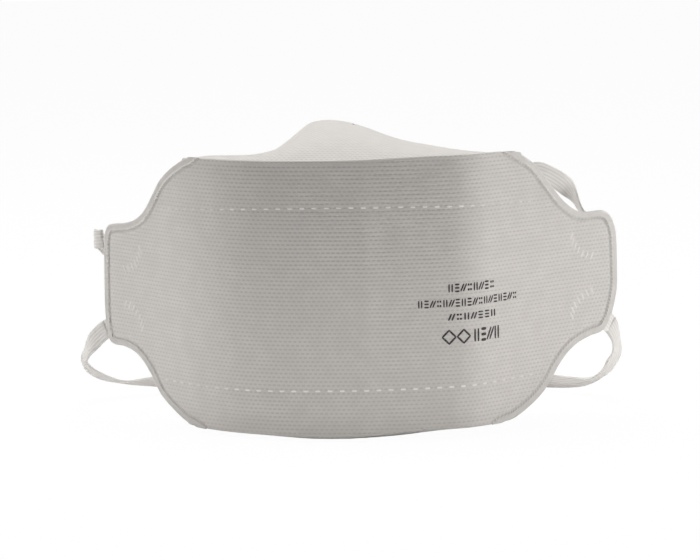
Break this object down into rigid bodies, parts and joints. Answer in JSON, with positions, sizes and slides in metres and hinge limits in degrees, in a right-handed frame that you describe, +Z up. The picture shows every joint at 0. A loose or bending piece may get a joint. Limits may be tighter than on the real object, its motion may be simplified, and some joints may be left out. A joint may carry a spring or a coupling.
{
  "type": "disposable dust mask",
  "caption": "Fold-flat disposable dust mask with a curved front panel, folding nose and chin panels, welded ear tabs and elastic head straps.",
  "frame": {"origin": "centre of the mask's footprint without its straps, on the surface that its chin panel rests on", "axes": "+X towards the right tab as the mask is seen from its front, -Y out of the front panel, +Z up towards the nose panel"},
  "size_m": [0.197, 0.1156, 0.105],
  "materials": {
    "outer_web": "white point-bonded polypropylene nonwoven, matt",
    "filter": "fine melt-blown polypropylene, matt",
    "inner_web": "smooth soft nonwoven, matt",
    "weld": "ultrasonically fused nonwoven, slightly translucent and smoother than the web",
    "elastic": "flat white knitted elastic with fine lengthwise ribs",
    "clip": "soft bare aluminium strip",
    "foam": "soft open-cell foam, matt"
  },
  "bodies": {
    "front_panel": {"front_outer_web": "outer_web", "front_filter_outer": "filter", "front_filter_inner": "filter", "front_inner_web": "inner_web", "left_edge_weld": "weld", "right_edge_weld": "weld", "upper_stitch_weld": "weld", "lower_stitch_weld": "weld", "left_tab_backing": "inner_web", "right_tab_backing": "inner_web", "upper_strap_left_end": "elastic", "upper_strap_right_end": "elastic", "lower_strap_left_end": "elastic", "lower_strap_right_end": "elastic", "upper_left_strap_weld": "weld", "upper_right_strap_weld": "weld", "lower_left_strap_weld": "weld", "lower_right_strap_weld": "weld"},
    "nose_panel": {"nose_outer_web": "outer_web", "nose_filter_outer": "filter", "nose_filter_inner": "filter", "nose_inner_web": "inner_web", "nose_clip": "clip", "nose_foam": "foam"},
    "chin_panel": {"chin_outer_web": "outer_web", "chin_filter_outer": "filter", "chin_filter_inner": "filter", "chin_inner_web": "inner_web"},
    "upper_strap": {"upper_strap": "elastic"},
    "lower_strap": {"lower_strap": "elastic"}
  },
  "joints": [
    {"name": "nose_panel_fold", "type": "hinge", "parent": "front_panel", "child": "nose_panel", "pos_m": [0, -0.0245, 0.096], "axis": [1, 0, 0], "range_deg": [0, 20]},
    {"name": "chin_panel_fold", "type": "hinge", "parent": "front_panel", "child": "chin_panel", "pos_m": [0, -0.0245, 0.002], "axis": [-1, 0, 0], "range_deg": [0, 12]},
    {"name": "upper_strap_swing", "type": "hinge", "parent": "front_panel", "child": "upper_strap", "pos_m": [0, 0.0258, 0.0631], "axis": [1, 0, 0], "range_deg": [0, 20]},
    {"name": "lower_strap_swing", "type": "hinge", "parent": "front_panel", "child": "lower_strap", "pos_m": [0, 0.0258, 0.0306], "axis": [1, 0, 0], "range_deg": [0, 25]}
  ]
}
